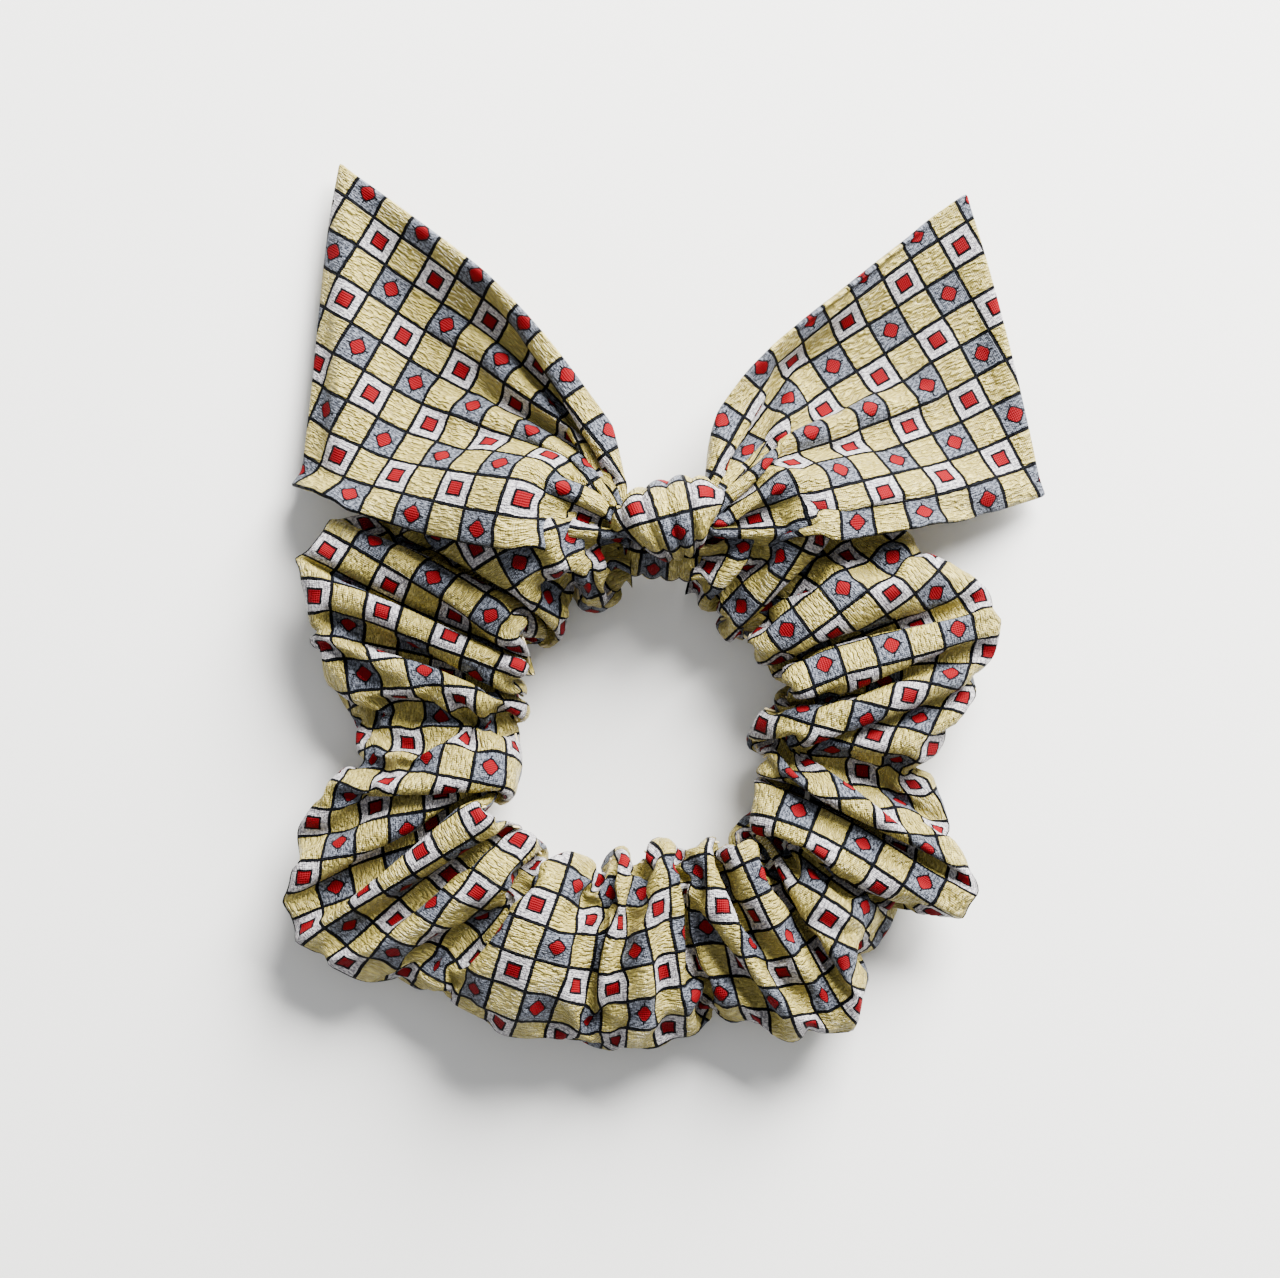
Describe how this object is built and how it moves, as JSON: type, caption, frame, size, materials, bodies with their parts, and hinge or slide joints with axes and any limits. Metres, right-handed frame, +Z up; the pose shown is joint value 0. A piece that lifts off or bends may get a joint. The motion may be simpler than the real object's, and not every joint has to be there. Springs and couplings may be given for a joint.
{
  "type": "scrunchie",
  "caption": "Gathered fabric hair scrunchie over an elastic loop, tied with a knotted sash whose pointed tails spread like a bow.",
  "frame": {"origin": "middle of the hair opening, on the surface that the scrunchie lies on", "axes": "+Z up, out of the surface and along the hair opening; +Y from the opening towards the knotted bow; +X to the right seen from above"},
  "size_m": [0.1246, 0.1448, 0.0238],
  "materials": {
    "casing_fabric": "satin jacquard in checked squares",
    "sash_fabric": "satin jacquard in checked squares",
    "elastic": "braided, matte",
    "thread": "spun polyester thread"
  },
  "bodies": {
    "puff_01": {"casing_puff_01": "casing_fabric"},
    "puff_02": {"casing_puff_02": "casing_fabric"},
    "puff_03": {"casing_puff_03": "casing_fabric"},
    "puff_04": {"casing_puff_04": "casing_fabric"},
    "puff_05": {"casing_puff_05": "casing_fabric", "casing_closing_thread": "thread"},
    "puff_06": {"casing_puff_06": "casing_fabric", "elastic_band": "elastic", "elastic_join_thread": "thread", "casing_seam_thread": "thread"},
    "puff_07": {"casing_puff_07": "casing_fabric"},
    "puff_08": {"casing_puff_08": "casing_fabric"},
    "puff_09": {"casing_puff_09": "casing_fabric"},
    "puff_10": {"casing_puff_10": "casing_fabric"},
    "puff_11": {"casing_puff_11": "casing_fabric"},
    "neck": {"casing_neck": "casing_fabric"},
    "bow": {"sash_wrap": "sash_fabric", "sash_knot": "sash_fabric"},
    "tail_left": {"sash_tail_left": "sash_fabric", "tail_left_seam_thread": "thread"},
    "tail_right": {"sash_tail_right": "sash_fabric", "tail_right_seam_thread": "thread"}
  },
  "joints": [
    {"name": "stretch", "type": "slide", "parent": "puff_06", "child": "puff_05", "axis": [-0.9692, 0.2462, 0], "range_m": [0, 0.01141], "stiffness_N_per_m": 615, "deforming": ["elastic_band", "casing_seam_thread"]},
    {"name": "stretch_puff_04", "type": "slide", "parent": "puff_05", "child": "puff_04", "axis": [-0.7314, 0.682, 0], "range_m": [0, 0.01243], "stiffness_N_per_m": 564},
    {"name": "stretch_puff_03", "type": "slide", "parent": "puff_04", "child": "puff_03", "axis": [-0.284, 0.9588, 0], "range_m": [0, 0.01283], "stiffness_N_per_m": 546},
    {"name": "stretch_puff_02", "type": "slide", "parent": "puff_03", "child": "puff_02", "axis": [0.2588, 0.9659, 0], "range_m": [0, 0.01323], "stiffness_N_per_m": 529},
    {"name": "stretch_puff_01", "type": "slide", "parent": "puff_02", "child": "puff_01", "axis": [0.7343, 0.6788, 0], "range_m": [0, 0.01343], "stiffness_N_per_m": 521},
    {"name": "stretch_neck", "type": "slide", "parent": "puff_01", "child": "neck", "axis": [0.984, 0.1779, 0], "range_m": [0, 0.01343], "stiffness_N_per_m": 521},
    {"name": "stretch_puff_07", "type": "slide", "parent": "puff_06", "child": "puff_07", "axis": [0.9713, 0.2377, 0], "range_m": [0, 0.01182], "stiffness_N_per_m": 594},
    {"name": "stretch_puff_08", "type": "slide", "parent": "puff_07", "child": "puff_08", "axis": [0.7193, 0.6947, 0], "range_m": [0, 0.01323], "stiffness_N_per_m": 529},
    {"name": "stretch_puff_09", "type": "slide", "parent": "puff_08", "child": "puff_09", "axis": [0.2546, 0.967, 0], "range_m": [0, 0.01263], "stiffness_N_per_m": 555},
    {"name": "stretch_puff_10", "type": "slide", "parent": "puff_09", "child": "puff_10", "axis": [-0.2504, 0.9681, 0], "range_m": [0, 0.01161], "stiffness_N_per_m": 604},
    {"name": "stretch_puff_11", "type": "slide", "parent": "puff_10", "child": "puff_11", "axis": [-0.6659, 0.7461, 0], "range_m": [0, 0.011], "stiffness_N_per_m": 638},
    {"name": "bow_roll", "type": "hinge", "parent": "neck", "child": "bow", "pos_m": [0.00309, 0.02944, 0.0075], "axis": [0.9945, -0.1045, 0], "range_deg": [0, 30]},
    {"name": "tail_left_lift", "type": "hinge", "parent": "bow", "child": "tail_left", "pos_m": [-0.0085, 0.034, 0.0165], "axis": [0.5446, 0.8387, 0], "range_deg": [0, 60]},
    {"name": "tail_right_lift", "type": "hinge", "parent": "bow", "child": "tail_right", "pos_m": [0.0148, 0.0334, 0.0165], "axis": [0.4741, -0.8805, 0], "range_deg": [0, 60]}
  ],
  "couplings": [
    {"joint": "stretch_puff_04", "follows": "stretch", "ratio": 1.0889},
    {"joint": "stretch_puff_03", "follows": "stretch", "ratio": 1.1243},
    {"joint": "stretch_puff_02", "follows": "stretch", "ratio": 1.1597},
    {"joint": "stretch_puff_01", "follows": "stretch", "ratio": 1.1773},
    {"joint": "stretch_neck", "follows": "stretch", "ratio": 1.1773},
    {"joint": "stretch_puff_07", "follows": "stretch", "ratio": 1.0356},
    {"joint": "stretch_puff_08", "follows": "stretch", "ratio": 1.1597},
    {"joint": "stretch_puff_09", "follows": "stretch", "ratio": 1.1066},
    {"joint": "stretch_puff_10", "follows": "stretch", "ratio": 1.0178},
    {"joint": "stretch_puff_11", "follows": "stretch", "ratio": 0.9643}
  ]
}
